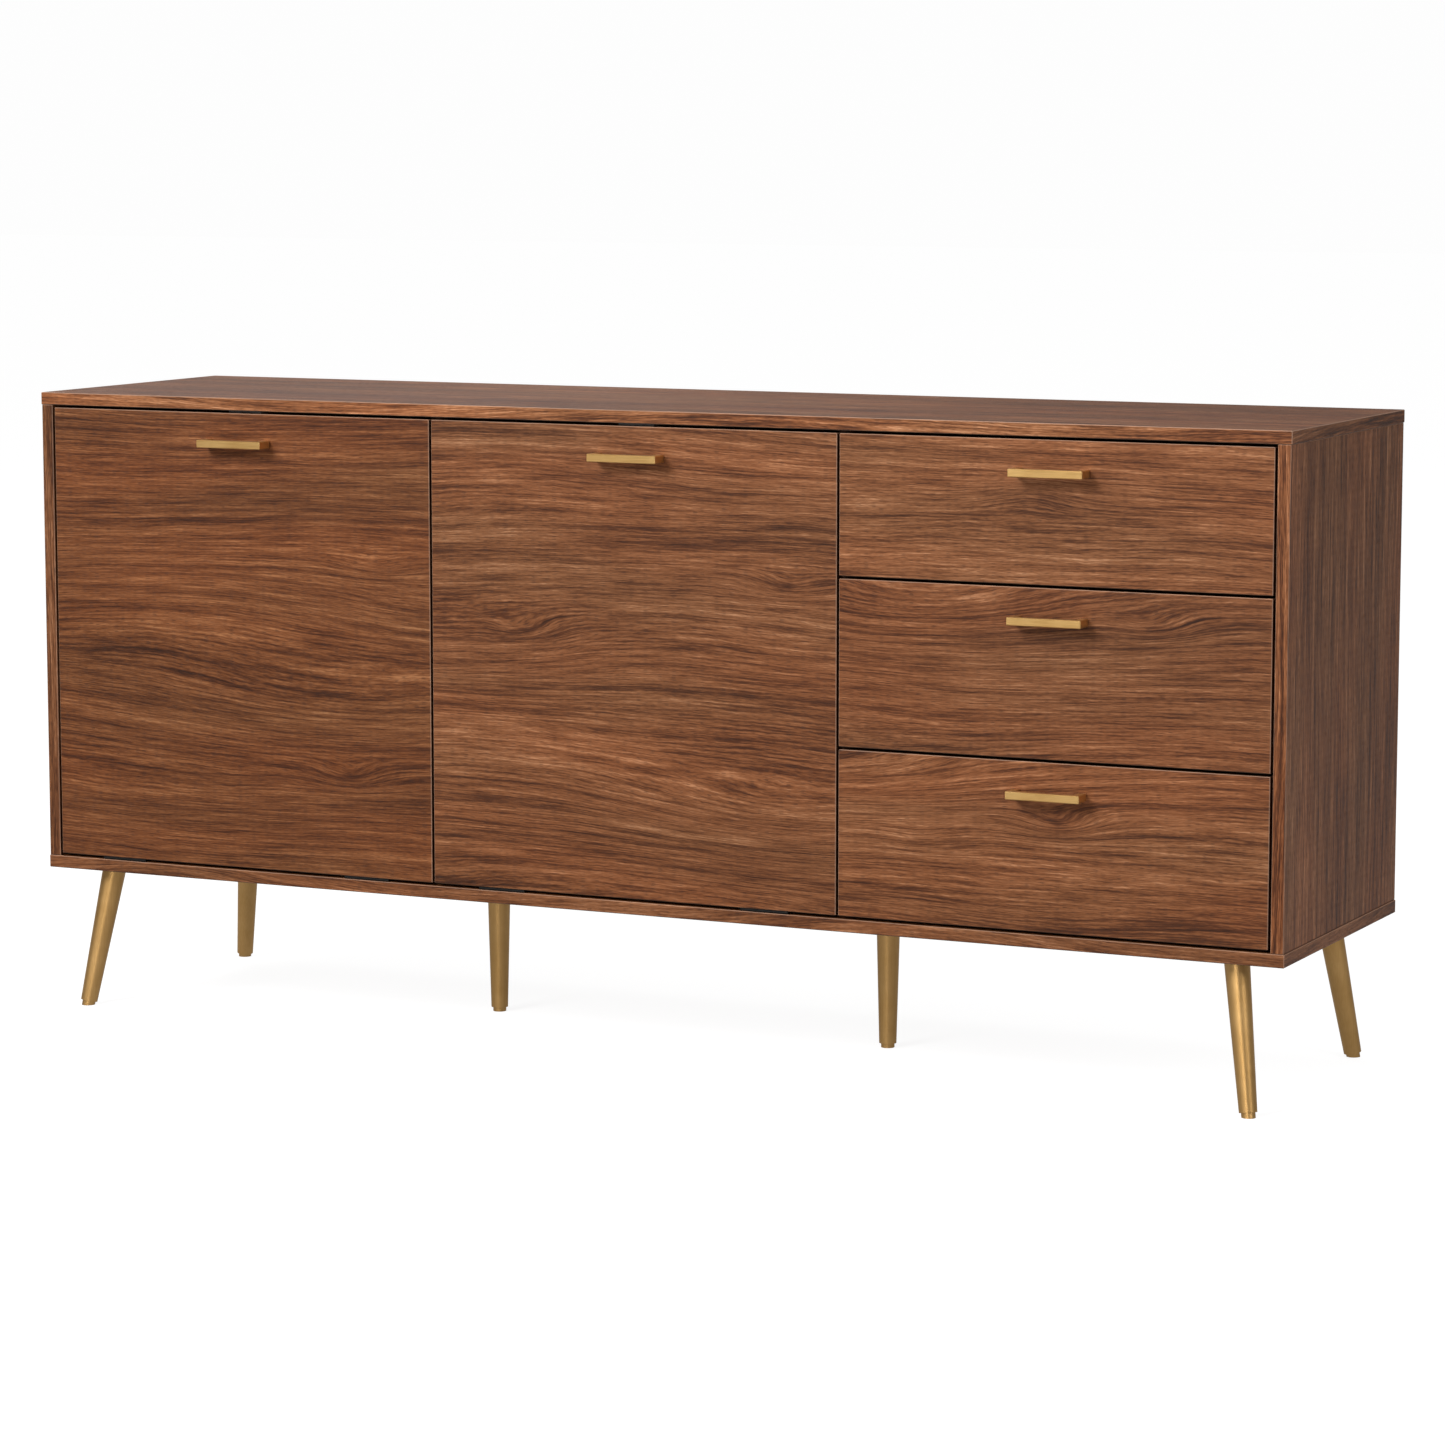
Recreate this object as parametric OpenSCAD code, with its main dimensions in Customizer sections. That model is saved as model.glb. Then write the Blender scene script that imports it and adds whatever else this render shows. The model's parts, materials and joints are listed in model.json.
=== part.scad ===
// Sideboard buffet: a three-bay case on six tapered legs, with two drop-front
// doors on sliding-rod stays and a bank of three drawers on ball-bearing runners.
// Millimetres. The origin is on the floor under the middle of the whole object,
// +X runs to its right, +Y to its back and +Z up. The fronts face -Y.

/* [Case] */
// Width over the top and bottom panels
body_w = 1600; // [1540:5:1660]
// Depth of the case, front edge to back edge
body_d = 400; // [395:1:430]
// Height of the case without its legs
case_h = 586; // [580:1:600]
// Thickness of the case panels, doors and drawer fronts
panel_t = 15; // [15:0.5:16]
// How far the top and bottom reach past the sides
overhang = 1; // [0.5:0.25:2]
// Width of the eased edges
ease = 0.8; // [0.4:0.1:1]
// Thickness of the back sheets
back_t = 3; // [3:0.5:4]

/* [Fronts] */
// Gap beside and above every front
reveal = 3.2; // [2.5:0.1:4]
// Gap under the doors, which holds their hinges
hinge_gap = 3.6; // [3.6:0.1:4]
// Width of each door
door_w = 521; // [500:1:530]
// Height of the middle and bottom drawer fronts
drawer_front_h = 191; // [180:1:195]

/* [Handles] */
// Length of a handle
handle_l = 88; // [80:1:128]
// Side of the handle's square bar
handle_bar = 9; // [8:0.5:12]
// How far a handle stands out from its front
handle_proj = 24; // [20:1:30]
// Depth of a handle's middle below the top edge of its front
handle_drop = 36; // [30:1:50]

/* [Legs] */
// Clear height under the case
leg_h = 172; // [150:1:200]
// Diameter of a leg where it meets the case
leg_top_d = 29; // [26:0.5:32]
// Diameter of a leg at its foot
leg_foot_d = 20.5; // [20:0.5:24]
// Distance of a corner leg's top from the end of the case
leg_in_x = 68.6; // [60:0.2:80]
// Distance of a corner leg's top from the front or back of the case
leg_in_y = 41.3; // [38:0.1:60]
// How far a corner leg's foot runs outward, sideways
splay_x = 25.5; // [0:0.5:30]
// How far a corner leg's foot runs outward, front to back
splay_y = 26.5; // [0:0.5:28]
// Half the distance between the two middle legs
middle_leg_x = 260.5; // [200:0.5:300]
// How far the pair of middle legs stands left of the centre of the case
middle_leg_shift = 17.5; // [0:0.5:20]
// Height of the glide that shows under a leg
glide_h = 5.3; // [4:0.1:8]

/* [Movement] */
// Height of the shelves' underside above the bottom panel
shelf_lift = 224; // [224:1:330]
// Radius of the circle about the hinge that holds both ends of a stay
stay_r = 200; // [196:1:204]
// Angle between a stay's two pivots when the door is shut
stay_lead = 20; // [18:1:22]
// How far a door drops
door_open = 90; // [60:5:90]
// How far a drawer pulls out
drawer_travel = 250; // [150:10:250]

/* [Hidden] */
$fn = 48;

// Finishes
walnut = "#7a5239";
inner_walnut = "#6b4833";
dark_board = "#4a3a30";
gold = "#c9a063";
black_steel = "#26241f";
zinc = "#a9abad";
grey_plastic = "#6f6f70";
beech = "#cfae7c";

// Clearances: cut runs a cutter past a face, slack loosens a fixed part in its hole
cut = 1;
slack = 0.1;
pin_slack = 0.05;

// Levels and faces of the case
front_y = (handle_proj - body_d) / 2;
back_y = front_y + body_d;
inner_z0 = leg_h + panel_t;
inner_z1 = leg_h + case_h - panel_t;
inner_h = inner_z1 - inner_z0;
side_in = body_w / 2 - overhang - panel_t;
front_back_y = front_y + panel_t;
divider_set_back = 2;
divider_y = front_back_y + divider_set_back;

// Fronts, from left to right and from the bottom up
front_z0 = inner_z0 + hinge_gap;
front_z1 = inner_z1 - reveal;
door_h = front_z1 - front_z0;
left_door_x = reveal - side_in;
middle_door_x = left_door_x + door_w + reveal;
drawer_x = middle_door_x + door_w + reveal;
drawer_w = side_in - reveal - drawer_x;
middle_drawer_z = front_z0 + drawer_front_h + reveal;
top_drawer_z = middle_drawer_z + drawer_front_h + reveal;
top_front_h = front_z1 - top_drawer_z;
left_divider_x = middle_door_x - reveal / 2;
right_divider_x = drawer_x - reveal / 2;

// The six upright faces inside the case: where each is, and the side its bay is on
walls = [
    [-side_in, 1], [left_divider_x - panel_t / 2, -1],
    [left_divider_x + panel_t / 2, 1], [right_divider_x - panel_t / 2, -1],
    [right_divider_x + panel_t / 2, 1], [side_in, -1]
];
left_bay = [0, 1];
middle_bay = [2, 3];
drawer_bay = [4, 5];
cam_walls = [0, 1, 3, 5];

// Case joints
joint_in = 70;
joint_ys = [front_y + joint_in, back_y - joint_in];
cam_r = 7.5;
cam_h = 12;
cam_back = 34;
cam_bolt_r = 3;
cam_thread_r = 2.5;
cam_thread_l = 10;
dowel_r = 4;
dowel_l = 30;
dowel_in = 9.5;
dowel_off = 32;

// Back sheets and their grooves
back_sheet_in = 12;
back_sheet_y = back_y - back_sheet_in;
groove = 5;

// Shelves and their pins
shelf_z = inner_z0 + shelf_lift;
shelf_set_back = 30;
shelf_back_gap = 4;
shelf_y = front_back_y + shelf_set_back;
shelf_d = back_sheet_y - shelf_back_gap - shelf_y;
shelf_side_gap = 1;
shelf_pin_r = 2.5;
shelf_pin_in = 6;
shelf_pin_out = 7.5;
shelf_pin_from_front = 128;
shelf_pin_from_back = 62;
shelf_pin_ys = [front_y + shelf_pin_from_front, back_y - shelf_pin_from_back];
pin_pitch = 32;

// Legs: where each top is, and which way its foot runs
leg_xs = body_w / 2 - leg_in_x;
leg_ys = [front_y + leg_in_y, back_y - leg_in_y];
middle_leg_y = (front_y + back_y) / 2;
leg_wall = 2;
leg_plug_h = 12;
leg_bolt_r = 4;
leg_bolt_up = 11;
glide_r = 8;
glide_in = 8;
leg_spots = [
    [-leg_xs, leg_ys[0], -1, -1], [-leg_xs, leg_ys[1], -1, 1],
    [leg_xs, leg_ys[0], 1, -1], [leg_xs, leg_ys[1], 1, 1],
    [-middle_leg_x - middle_leg_shift, middle_leg_y, 0, 0],
    [middle_leg_x - middle_leg_shift, middle_leg_y, 0, 0]
];

// Hinges: the knuckle lies in the gap under the door, flush with its face
knuckle_r = 1.6;
hinge_pin_r = 0.75;
hinge_y = front_y + knuckle_r;
hinge_z = inner_z0 + hinge_gap / 2;
leaf_t = 0.8;
leaf_l = 60;
leaf_w = 12;
leaf_start = 2;
knuckle_l = 20;
knuckle_gap = 0.3;
hinge_inset = 90;
leaf_screw_x = 20;
leaf_screw_y = 7.5;
leaf_screw_r = 1.2;
base_leaf_screw_l = 11;
door_leaf_screw_l = 13;

// Stays: rod pivot on the door and housing pivot on the wall lie on one circle about
// the hinge, so the rod turns at exactly half the door's rate
stay_pivot_out = 10;
door_pivot_a = asin((front_back_y + stay_pivot_out - hinge_y) / stay_r);
wall_pivot_a = door_pivot_a + stay_lead;
door_pivot = [hinge_y + stay_r * sin(door_pivot_a), hinge_z + stay_r * cos(door_pivot_a)];
wall_pivot = [hinge_y + stay_r * sin(wall_pivot_a), hinge_z + stay_r * cos(wall_pivot_a)];
rod_tilt = (door_pivot_a + wall_pivot_a) / 2;
rod_x = 11;
rod_r = 3;
rod_run = 2 * stay_r * sin((stay_lead + door_open) / 2);
housing_r = 8;
rod_collar_r = 4.5;
rod_collar_l = 5;
rod_stop_gap = 0.3;
rod_stop = rod_run + housing_r + rod_stop_gap;
eye_r = 5;
eye_w = 7;
eye_bite = 1;
eye_gap = 0.3;
bracket_pin_r = 2.5;
bracket_t = 2;
bracket_x = 6;
bracket_size = [24, 28];
bracket_screw_x = 24;
bracket_screw_z = 9;
bracket_ear_x = rod_x + eye_w / 2 + eye_gap;
bracket_ear_t = 3;
housing_w = 12;
housing_x = 2.8;
housing_bore_r = 3.3;
pivot_plate_t = 2.5;
pivot_plate_size = [20, 36];
pivot_screw_z = 13;
pivot_pin_r = 3;
pivot_pin_l = 4.1;

// Magnetic catches
catch_size = [45, 15, 13];
catch_gap = 0.3;
catch_screw_x = 15;
strike_t = 1.2;
strike_size = [40, 11];
strike_drop = 1;
strike_screw_x = 14;
strike_screw_l = 10;

// Runners, from a wall inward: outer rail, ball cage, inner rail, drawer side
runner_t = 12.7;
rail_t = 1.2;
outer_rail_h = 45;
outer_rail_w = 11;
inner_rail_h = 33;
inner_rail_x = 3.5;
rail_l = 340;
rail_set_back = 6;
rail_y = front_back_y + rail_set_back;
rail_lift = 40;
ball_r = 2.2;
ball_x = 7;
ball_z = (inner_rail_h + outer_rail_h - 2 * rail_t) / 4;
cage_l = rail_l - drawer_travel;
cage_y = rail_y + drawer_travel / 2;
cage_x = 1.8;
cage_web = 1;
cage_arm = 0.6;
rail_screw_ys = [rail_y + 27, rail_y + 267];
inner_screw_shift = 20;

// Drawer boxes
drawer_side_t = 12;
drawer_bottom_t = 3;
box_x = walls[4][0] + runner_t;
box_w = walls[5][0] - runner_t - box_x;
box_d = 350;
box_lift = 12;
box_clear = 40;
bottom_lift = 10;
box_screw_low = 70;
box_screw_top = 20;
front_joint_low = 30;
front_joint_top = 25;
front_bolt_r = 2;
front_bolt_in = 9;
front_cam_r = 6;
front_cam_h = 9;
front_cam_back = 24;
drawers = [
    [top_drawer_z, top_front_h],
    [middle_drawer_z, drawer_front_h],
    [front_z0, drawer_front_h]
];

// Fasteners
screw_r = 1.6;
wall_screw_l = 6;
panel_screw_in = 9;
side_screw_in = 8;
recess_w = 0.7;
recess_h = 0.8;
recess_share = 0.6;
handle_screw_r = 2;
handle_screw_in = 8;
handle_screw_slack = 0.25;
handle_head_r = 4;
handle_head_h = 2.4;
box_screw_r = 1.75;
box_screw_l = 35;

// ---- shared shapes ----

// Rectangle with its corners eased
module eased_rect(a, b) {
    polygon([
        [ease, 0], [a - ease, 0], [a, ease], [a, b - ease],
        [a - ease, b], [ease, b], [0, b - ease], [0, ease]
    ]);
}

// Board with its twelve edges eased and its lowest corner at the origin
module board(w, d, h) {
    intersection() {
        linear_extrude(h) eased_rect(w, d);
        translate([0, d, 0]) rotate([90, 0, 0]) linear_extrude(d) eased_rect(w, h);
        rotate([90, 0, 90]) linear_extrude(w) eased_rect(d, h);
    }
}

// Rod along +X from the origin
module x_rod(l, r) {
    rotate([0, 90, 0]) cylinder(h = l, r = r);
}

// Cross recess in the top of a head of radius r, whose top is at z = 0
module cross_recess(r) {
    for (a = [0, 90])
        rotate([0, 0, a])
            translate([-r * recess_share, -recess_w / 2, -recess_h])
                cube([2 * r * recess_share, recess_w, recess_h + cut]);
}

// Countersunk screw pointing down from its head's flat top; g makes it its own hole
module screw(l, r, g = 0) {
    difference() {
        union() {
            translate([0, 0, -l - g]) cylinder(h = l + g, r = r + g);
            translate([0, 0, -r]) cylinder(h = r, r1 = r + g, r2 = 2 * r + g);
            if (g > 0) cylinder(h = cut, r = 2 * r + g);
        }
        if (g == 0) cross_recess(2 * r);
    }
}

// Frame of an upright face: x runs from the face into its bay
module on_wall(i) {
    translate([walls[i][0], 0, 0]) mirror([walls[i][1] < 0 ? 1 : 0, 0, 0]) children();
}

// ---- case joints ----

// Frame of each joint between an upright board and the top or bottom: z runs up the board
module at_board_joints() {
    for (i = cam_walls, y = joint_ys, end = [0, 1])
        on_wall(i)
            translate([-panel_t / 2, y, end == 0 ? inner_z0 : inner_z1])
                mirror([0, 0, end])
                    children();
}

// Bolt that the cam lock pulls on, threaded into the top or bottom panel
module cam_bolt(g = 0) {
    translate([0, 0, -cam_thread_l - g]) cylinder(h = cam_thread_l + g, r = cam_thread_r + g);
    cylinder(h = cam_back + g, r = cam_bolt_r + g);
}

// Round cam in its pocket, flush with the inner face of the board
module cam_disc(g = 0) {
    translate([panel_t / 2 - cam_h - g, 0, cam_back]) x_rod(cam_h + (g > 0 ? g + cut : 0), cam_r + g);
}

module dowel(g = 0) {
    translate([0, dowel_off, -dowel_in - g]) cylinder(h = dowel_l + 2 * g, r = dowel_r + g);
}

module joint_cuts() {
    at_board_joints() {
        cam_bolt(slack);
        cam_disc(slack);
        dowel(slack);
    }
}

// ---- back sheets ----

module back_sheet(bay, g = 0) {
    x0 = walls[bay[0]][0];
    x1 = walls[bay[1]][0];
    translate([x0 - groove - g, back_sheet_y - g, inner_z0 - groove - g])
        cube([x1 - x0 + 2 * (groove + g), back_t + 2 * g, inner_h + 2 * (groove + g)]);
}

module back_grooves() {
    for (bay = [left_bay, middle_bay, drawer_bay]) back_sheet(bay, slack);
}

// ---- shelf pins ----

module shelf_pin_holes() {
    for (i = [0:3], y = shelf_pin_ys, step = [-1:1])
        on_wall(i)
            translate([-shelf_pin_in - slack, y, shelf_z - shelf_pin_r - pin_slack + step * pin_pitch])
                x_rod(shelf_pin_in + slack + cut, shelf_pin_r + slack);
}

// ---- screws of the case ----

module at_hinges(door_x) {
    for (x = [hinge_inset, door_w - hinge_inset]) translate([door_x + x, hinge_y, hinge_z]) children();
}

module base_leaf_screws(g = 0) {
    for (door_x = [left_door_x, middle_door_x], x = [-leaf_screw_x, leaf_screw_x])
        at_hinges(door_x)
            translate([x, leaf_screw_y, leaf_t - hinge_gap / 2])
                screw(base_leaf_screw_l, leaf_screw_r, g);
}

module at_catches() {
    for (door_x = [left_door_x, middle_door_x])
        translate([door_x + door_w / 2, front_back_y + strike_t + catch_gap, inner_z1 - catch_size[2]])
            children();
}

module catch_screws(g = 0) {
    at_catches()
        for (x = [-catch_screw_x, catch_screw_x])
            translate([x, catch_size[1] / 2, 0])
                rotate([180, 0, 0])
                    screw(catch_size[2] + panel_screw_in, screw_r, g);
}

module stay_pivot_screws(g = 0) {
    for (i = [0:3], z = [-pivot_screw_z, pivot_screw_z])
        on_wall(i)
            translate([pivot_plate_t, wall_pivot[0], wall_pivot[1] + z])
                rotate([0, 90, 0])
                    screw(pivot_plate_t + wall_screw_l, screw_r, g);
}

module outer_rail_screws(g = 0) {
    for (i = drawer_bay, d = drawers, y = rail_screw_ys)
        on_wall(i)
            translate([rail_t, y, d[0] + box_lift + rail_lift])
                rotate([0, 90, 0])
                    screw(rail_t + wall_screw_l, screw_r, g);
}

// ---- legs ----

// Frame of a leg: origin where its axis meets the case, -Z down the leg
module leg_frame(spot) {
    run_x = spot[2] * splay_x / leg_h;
    run_y = spot[3] * splay_y / leg_h;
    turn_y = -atan(run_x);
    turn_x = atan(run_y * cos(turn_y));
    translate([spot[0], spot[1], leg_h]) rotate([turn_x, turn_y, 0]) children();
}

function leg_axis_l(spot) = norm([spot[2] * splay_x, spot[3] * splay_y, leg_h]);

// Cone down the leg's axis from up above the case to down below it, inset from its skin
module leg_cone(spot, up, down, inset) {
    slope = (leg_top_d - leg_foot_d) / 2 / (leg_axis_l(spot) - glide_h);
    translate([0, 0, -down])
        cylinder(h = up + down, r1 = leg_top_d / 2 - down * slope - inset,
                 r2 = leg_top_d / 2 + up * slope - inset);
}

// Block under the case that trims a leg's slanted top to the panel
module under_case() {
    translate([-body_w / 2, -body_d, 0]) cube([body_w, 2 * body_d, leg_h]);
}

module leg(i) {
    spot = leg_spots[i];
    color(gold)
        intersection() {
            leg_frame(spot)
                difference() {
                    leg_cone(spot, leg_plug_h, leg_axis_l(spot) - glide_h, 0);
                    leg_cone(spot, leg_plug_h + cut, leg_axis_l(spot) - glide_h + cut, leg_wall);
                }
            under_case();
        }
}

module leg_bolt_holes() {
    for (spot = leg_spots)
        leg_frame(spot)
            translate([0, 0, -leg_bolt_up])
                cylinder(h = 2 * leg_bolt_up + slack, r = leg_bolt_r + slack);
}

// ---- stays ----

// Rod along +Y, tilted as it lies when its door is shut
module rod_frame(pivot) {
    translate([0, pivot[0], pivot[1]]) rotate([-rod_tilt, 0, 0]) children();
}

module y_rod(l, r) {
    rotate([-90, 0, 0]) cylinder(h = l, r = r);
}

// ---- fronts ----

module handle_screws(x, z, g = 0) {
    for (side = [-1, 1])
        translate([x + side * (handle_l - handle_bar) / 2, front_back_y, z]) {
            rotate([90, 0, 0]) cylinder(h = panel_t + handle_screw_in + g, r = handle_screw_r + g);
            if (g > 0) y_rod(cut, handle_screw_r + g);
            else
                difference() {
                    y_rod(handle_head_h, handle_head_r);
                    translate([0, handle_head_h, 0]) rotate([-90, 0, 0]) cross_recess(handle_head_r);
                }
        }
}

// Square bar pull on two square posts, one at each end
module handle(x, z) {
    color(gold)
        difference() {
            translate([x - handle_l / 2, front_y - handle_proj, z - handle_bar / 2])
                board(handle_l, handle_proj, handle_bar);
            translate([x - handle_l / 2 + handle_bar, front_y - handle_proj + handle_bar, z - handle_bar])
                cube([handle_l - 2 * handle_bar, handle_proj, 2 * handle_bar]);
            handle_screws(x, z, pin_slack);
        }
}

// ---- door parts ----

module door_leaf_screws(door_x, g = 0) {
    for (x = [-leaf_screw_x, leaf_screw_x])
        at_hinges(door_x)
            translate([x, leaf_screw_y, hinge_gap / 2 - leaf_t])
                rotate([180, 0, 0])
                    screw(door_leaf_screw_l, leaf_screw_r, g);
}

module bracket_screws(bay, g = 0) {
    for (i = bay, z = [-bracket_screw_z, bracket_screw_z])
        on_wall(i)
            translate([bracket_screw_x, front_back_y + bracket_t, door_pivot[1] + z])
                rotate([-90, 0, 0])
                    screw(bracket_t + panel_screw_in, screw_r, g);
}

module strike_screw(door_x, g = 0) {
    for (x = [-strike_screw_x, strike_screw_x])
        translate([
            door_x + door_w / 2 + x,
            front_back_y + strike_t,
            front_z1 - strike_size[1] / 2 - strike_drop
        ])
            rotate([-90, 0, 0])
                screw(strike_screw_l, leaf_screw_r, g);
}

module door_panel(door_x, bay) {
    color(walnut)
        difference() {
            translate([door_x, front_y, front_z0]) board(door_w, panel_t, door_h);
            handle_screws(door_x + door_w / 2, front_z1 - handle_drop, handle_screw_slack);
            door_leaf_screws(door_x, slack);
            bracket_screws(bay, slack);
            strike_screw(door_x, slack);
        }
}

module door_screws(door_x, bay) {
    color(zinc) {
        handle_screws(door_x + door_w / 2, front_z1 - handle_drop);
        door_leaf_screws(door_x);
        bracket_screws(bay);
        strike_screw(door_x);
    }
}

// One half of a butt hinge: a leaf on the side z of the axis, with knuckles at xs
module hinge_half(z, xs, l) {
    difference() {
        union() {
            translate([-leaf_l / 2, leaf_start, z]) cube([leaf_l, leaf_w - leaf_start, leaf_t]);
            for (x = xs) {
                translate([x - l / 2, 0, z]) cube([l, leaf_start + cut, leaf_t]);
                translate([x - l / 2, 0, 0]) x_rod(l, knuckle_r);
            }
        }
        translate([-leaf_l / 2 - cut, 0, 0]) x_rod(leaf_l + 2 * cut, hinge_pin_r + pin_slack);
    }
}

module door_hinge_leaves(door_x) {
    color(black_steel)
        difference() {
            at_hinges(door_x)
                hinge_half(hinge_gap / 2 - leaf_t, [0], knuckle_l - 2 * knuckle_gap);
            door_leaf_screws(door_x, slack);
        }
}

// Plate on the door with one ear, whose pin carries the rod's eye
module stay_brackets(bay) {
    color(zinc)
        difference() {
            for (i = bay)
                on_wall(i) {
                    translate([bracket_x, front_back_y, door_pivot[1] - bracket_size[1] / 2])
                        cube([bracket_size[0], bracket_t, bracket_size[1]]);
                    translate([bracket_ear_x, front_back_y, door_pivot[1] - eye_r])
                        cube([bracket_ear_t, stay_pivot_out + eye_r, 2 * eye_r]);
                    translate([rod_x - eye_w / 2 - eye_gap, door_pivot[0], door_pivot[1]])
                        x_rod(eye_w + 2 * eye_gap + cut, bracket_pin_r);
                }
            bracket_screws(bay, slack);
        }
}

module strike_plate(door_x) {
    color(zinc)
        difference() {
            translate([door_x + (door_w - strike_size[0]) / 2, front_back_y, front_z1 - strike_size[1] - strike_drop])
                cube([strike_size[0], strike_t, strike_size[1]]);
            strike_screw(door_x, slack);
        }
}

// Rod with an eye at the door and a stop collar at its far end
module stay_rods(bay) {
    color(zinc)
        for (i = bay)
            on_wall(i)
                rod_frame(door_pivot)
                    difference() {
                        union() {
                            translate([rod_x - eye_w / 2, 0, 0]) x_rod(eye_w, eye_r);
                            translate([rod_x, eye_r - eye_bite, 0])
                                y_rod(rod_stop - eye_r + 2 * eye_bite, rod_r);
                            translate([rod_x, rod_stop, 0]) y_rod(rod_collar_l, rod_collar_r);
                        }
                        translate([rod_x - eye_w, 0, 0]) x_rod(2 * eye_w, bracket_pin_r + pin_slack);
                    }
}

// Swivelling drum on the wall that the rod slides through
module stay_housings(bay) {
    color(grey_plastic)
        for (i = bay)
            on_wall(i)
                rod_frame(wall_pivot)
                    difference() {
                        translate([housing_x, 0, 0]) x_rod(housing_w, housing_r);
                        translate([rod_x, -housing_r - cut, 0]) y_rod(2 * (housing_r + cut), housing_bore_r);
                        translate([housing_x - cut, 0, 0])
                            x_rod(pivot_plate_t + pivot_pin_l + slack + cut - housing_x, pivot_pin_r + pin_slack);
                    }
}

// ---- drawer parts ----

module drawer_bottom(d, g = 0) {
    translate([box_x + drawer_side_t - groove - g, front_back_y - groove - g, d[0] + box_lift + bottom_lift - g])
        cube([
            box_w - 2 * (drawer_side_t - groove - g),
            box_d - drawer_side_t + 2 * (groove + g),
            drawer_bottom_t + 2 * g
        ]);
}

module box_screws(d, g = 0) {
    for (i = drawer_bay, z = [box_screw_low, d[1] - box_clear - box_screw_top])
        on_wall(i)
            translate([runner_t, front_back_y + box_d - drawer_side_t / 2, d[0] + box_lift + z])
                rotate([0, -90, 0])
                    screw(box_screw_l, box_screw_r, g);
}

module inner_rail_screws(d, g = 0) {
    for (i = drawer_bay, y = rail_screw_ys)
        on_wall(i)
            translate([runner_t - rail_t, y + inner_screw_shift, d[0] + box_lift + rail_lift])
                rotate([0, -90, 0])
                    screw(rail_t + side_screw_in, screw_r, g);
}

// Frame of each joint between a drawer's side and its front: z runs back along the side
module at_front_joints(d) {
    for (i = drawer_bay, z = [front_joint_low, d[1] - box_clear - front_joint_top])
        on_wall(i)
            translate([runner_t + drawer_side_t / 2, front_back_y, d[0] + box_lift + z])
                rotate([-90, 0, 0])
                    children();
}

module front_bolt(g = 0) {
    translate([0, 0, -front_bolt_in - g])
        cylinder(h = front_bolt_in + front_cam_back + 2 * g, r = front_bolt_r + g);
}

module front_cam(g = 0) {
    translate([drawer_side_t / 2 - front_cam_h - g, 0, front_cam_back])
        x_rod(front_cam_h + (g > 0 ? g + cut : 0), front_cam_r + g);
}

module front_joint_cuts(d) {
    at_front_joints(d) {
        front_bolt(slack);
        front_cam(slack);
    }
}

module drawer_front(d) {
    color(walnut)
        difference() {
            translate([drawer_x, front_y, d[0]]) board(drawer_w, panel_t, d[1]);
            handle_screws(drawer_x + drawer_w / 2, d[0] + d[1] - handle_drop, handle_screw_slack);
            drawer_bottom(d, slack);
            front_joint_cuts(d);
        }
}

// Two sides, a back between them, and a thin bottom in their grooves
module drawer_box(d) {
    h = d[1] - box_clear;
    z = d[0] + box_lift;
    color(inner_walnut) {
        difference() {
            union() {
                for (i = drawer_bay)
                    on_wall(i)
                        translate([runner_t, front_back_y, z])
                            cube([drawer_side_t, box_d, h]);
                translate([box_x + drawer_side_t + slack, front_back_y + box_d - drawer_side_t, z])
                    cube([box_w - 2 * (drawer_side_t + slack), drawer_side_t, h]);
            }
            drawer_bottom(d, slack);
            box_screws(d, slack);
            inner_rail_screws(d, slack);
            front_joint_cuts(d);
        }
        drawer_bottom(d);
    }
}

module drawer_handle(d) {
    handle(drawer_x + drawer_w / 2, d[0] + d[1] - handle_drop);
}

// Screws of the handle, box and rails, and the bolts and cams that hold the sides to the front
module drawer_fasteners(d) {
    color(zinc) {
        handle_screws(drawer_x + drawer_w / 2, d[0] + d[1] - handle_drop);
        box_screws(d);
        inner_rail_screws(d);
        at_front_joints(d) front_bolt();
        difference() {
            at_front_joints(d) front_cam();
            at_front_joints(d) {
                front_bolt(slack);
                translate([drawer_side_t / 2, 0, front_cam_back]) rotate([0, 90, 0]) cross_recess(front_cam_r);
            }
        }
    }
}

// Channel section along +Y: x from x0 to x1, open on the side away from its web
module rail(x0, x1, h, web_x) {
    translate([0, rail_y, 0])
        difference() {
            translate([x0, 0, -h / 2]) cube([x1 - x0, rail_l, h]);
            translate([web_x, -cut, rail_t - h / 2]) cube([x1 - x0, rail_l + 2 * cut, h - 2 * rail_t]);
        }
}

module inner_rails(d) {
    color(zinc)
        difference() {
            for (i = drawer_bay)
                on_wall(i)
                    translate([0, 0, d[0] + box_lift + rail_lift])
                        rail(inner_rail_x, runner_t, inner_rail_h, inner_rail_x - rail_t);
            inner_rail_screws(d, slack);
        }
}

// Strip that carries a row of balls above and below the inner rail
module ball_cages(d) {
    balls = 5;
    arm_w = ball_x + ball_r - cage_x;
    color(black_steel)
        for (i = drawer_bay)
            on_wall(i)
                translate([cage_x, cage_y, d[0] + box_lift + rail_lift]) {
                    translate([0, 0, -ball_z]) cube([cage_web, cage_l, 2 * ball_z]);
                    for (side = [-1, 1]) {
                        translate([0, 0, side * ball_z - cage_arm / 2]) cube([arm_w, cage_l, cage_arm]);
                        for (k = [1:balls])
                            translate([ball_x - cage_x, k * cage_l / (balls + 1), side * ball_z])
                                sphere(r = ball_r);
                    }
                }
}

// ---- case parts ----

module top_panel() {
    color(walnut)
        difference() {
            translate([-body_w / 2, front_y, inner_z1]) board(body_w, body_d, panel_t);
            joint_cuts();
            back_grooves();
            catch_screws(slack);
        }
}

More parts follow.
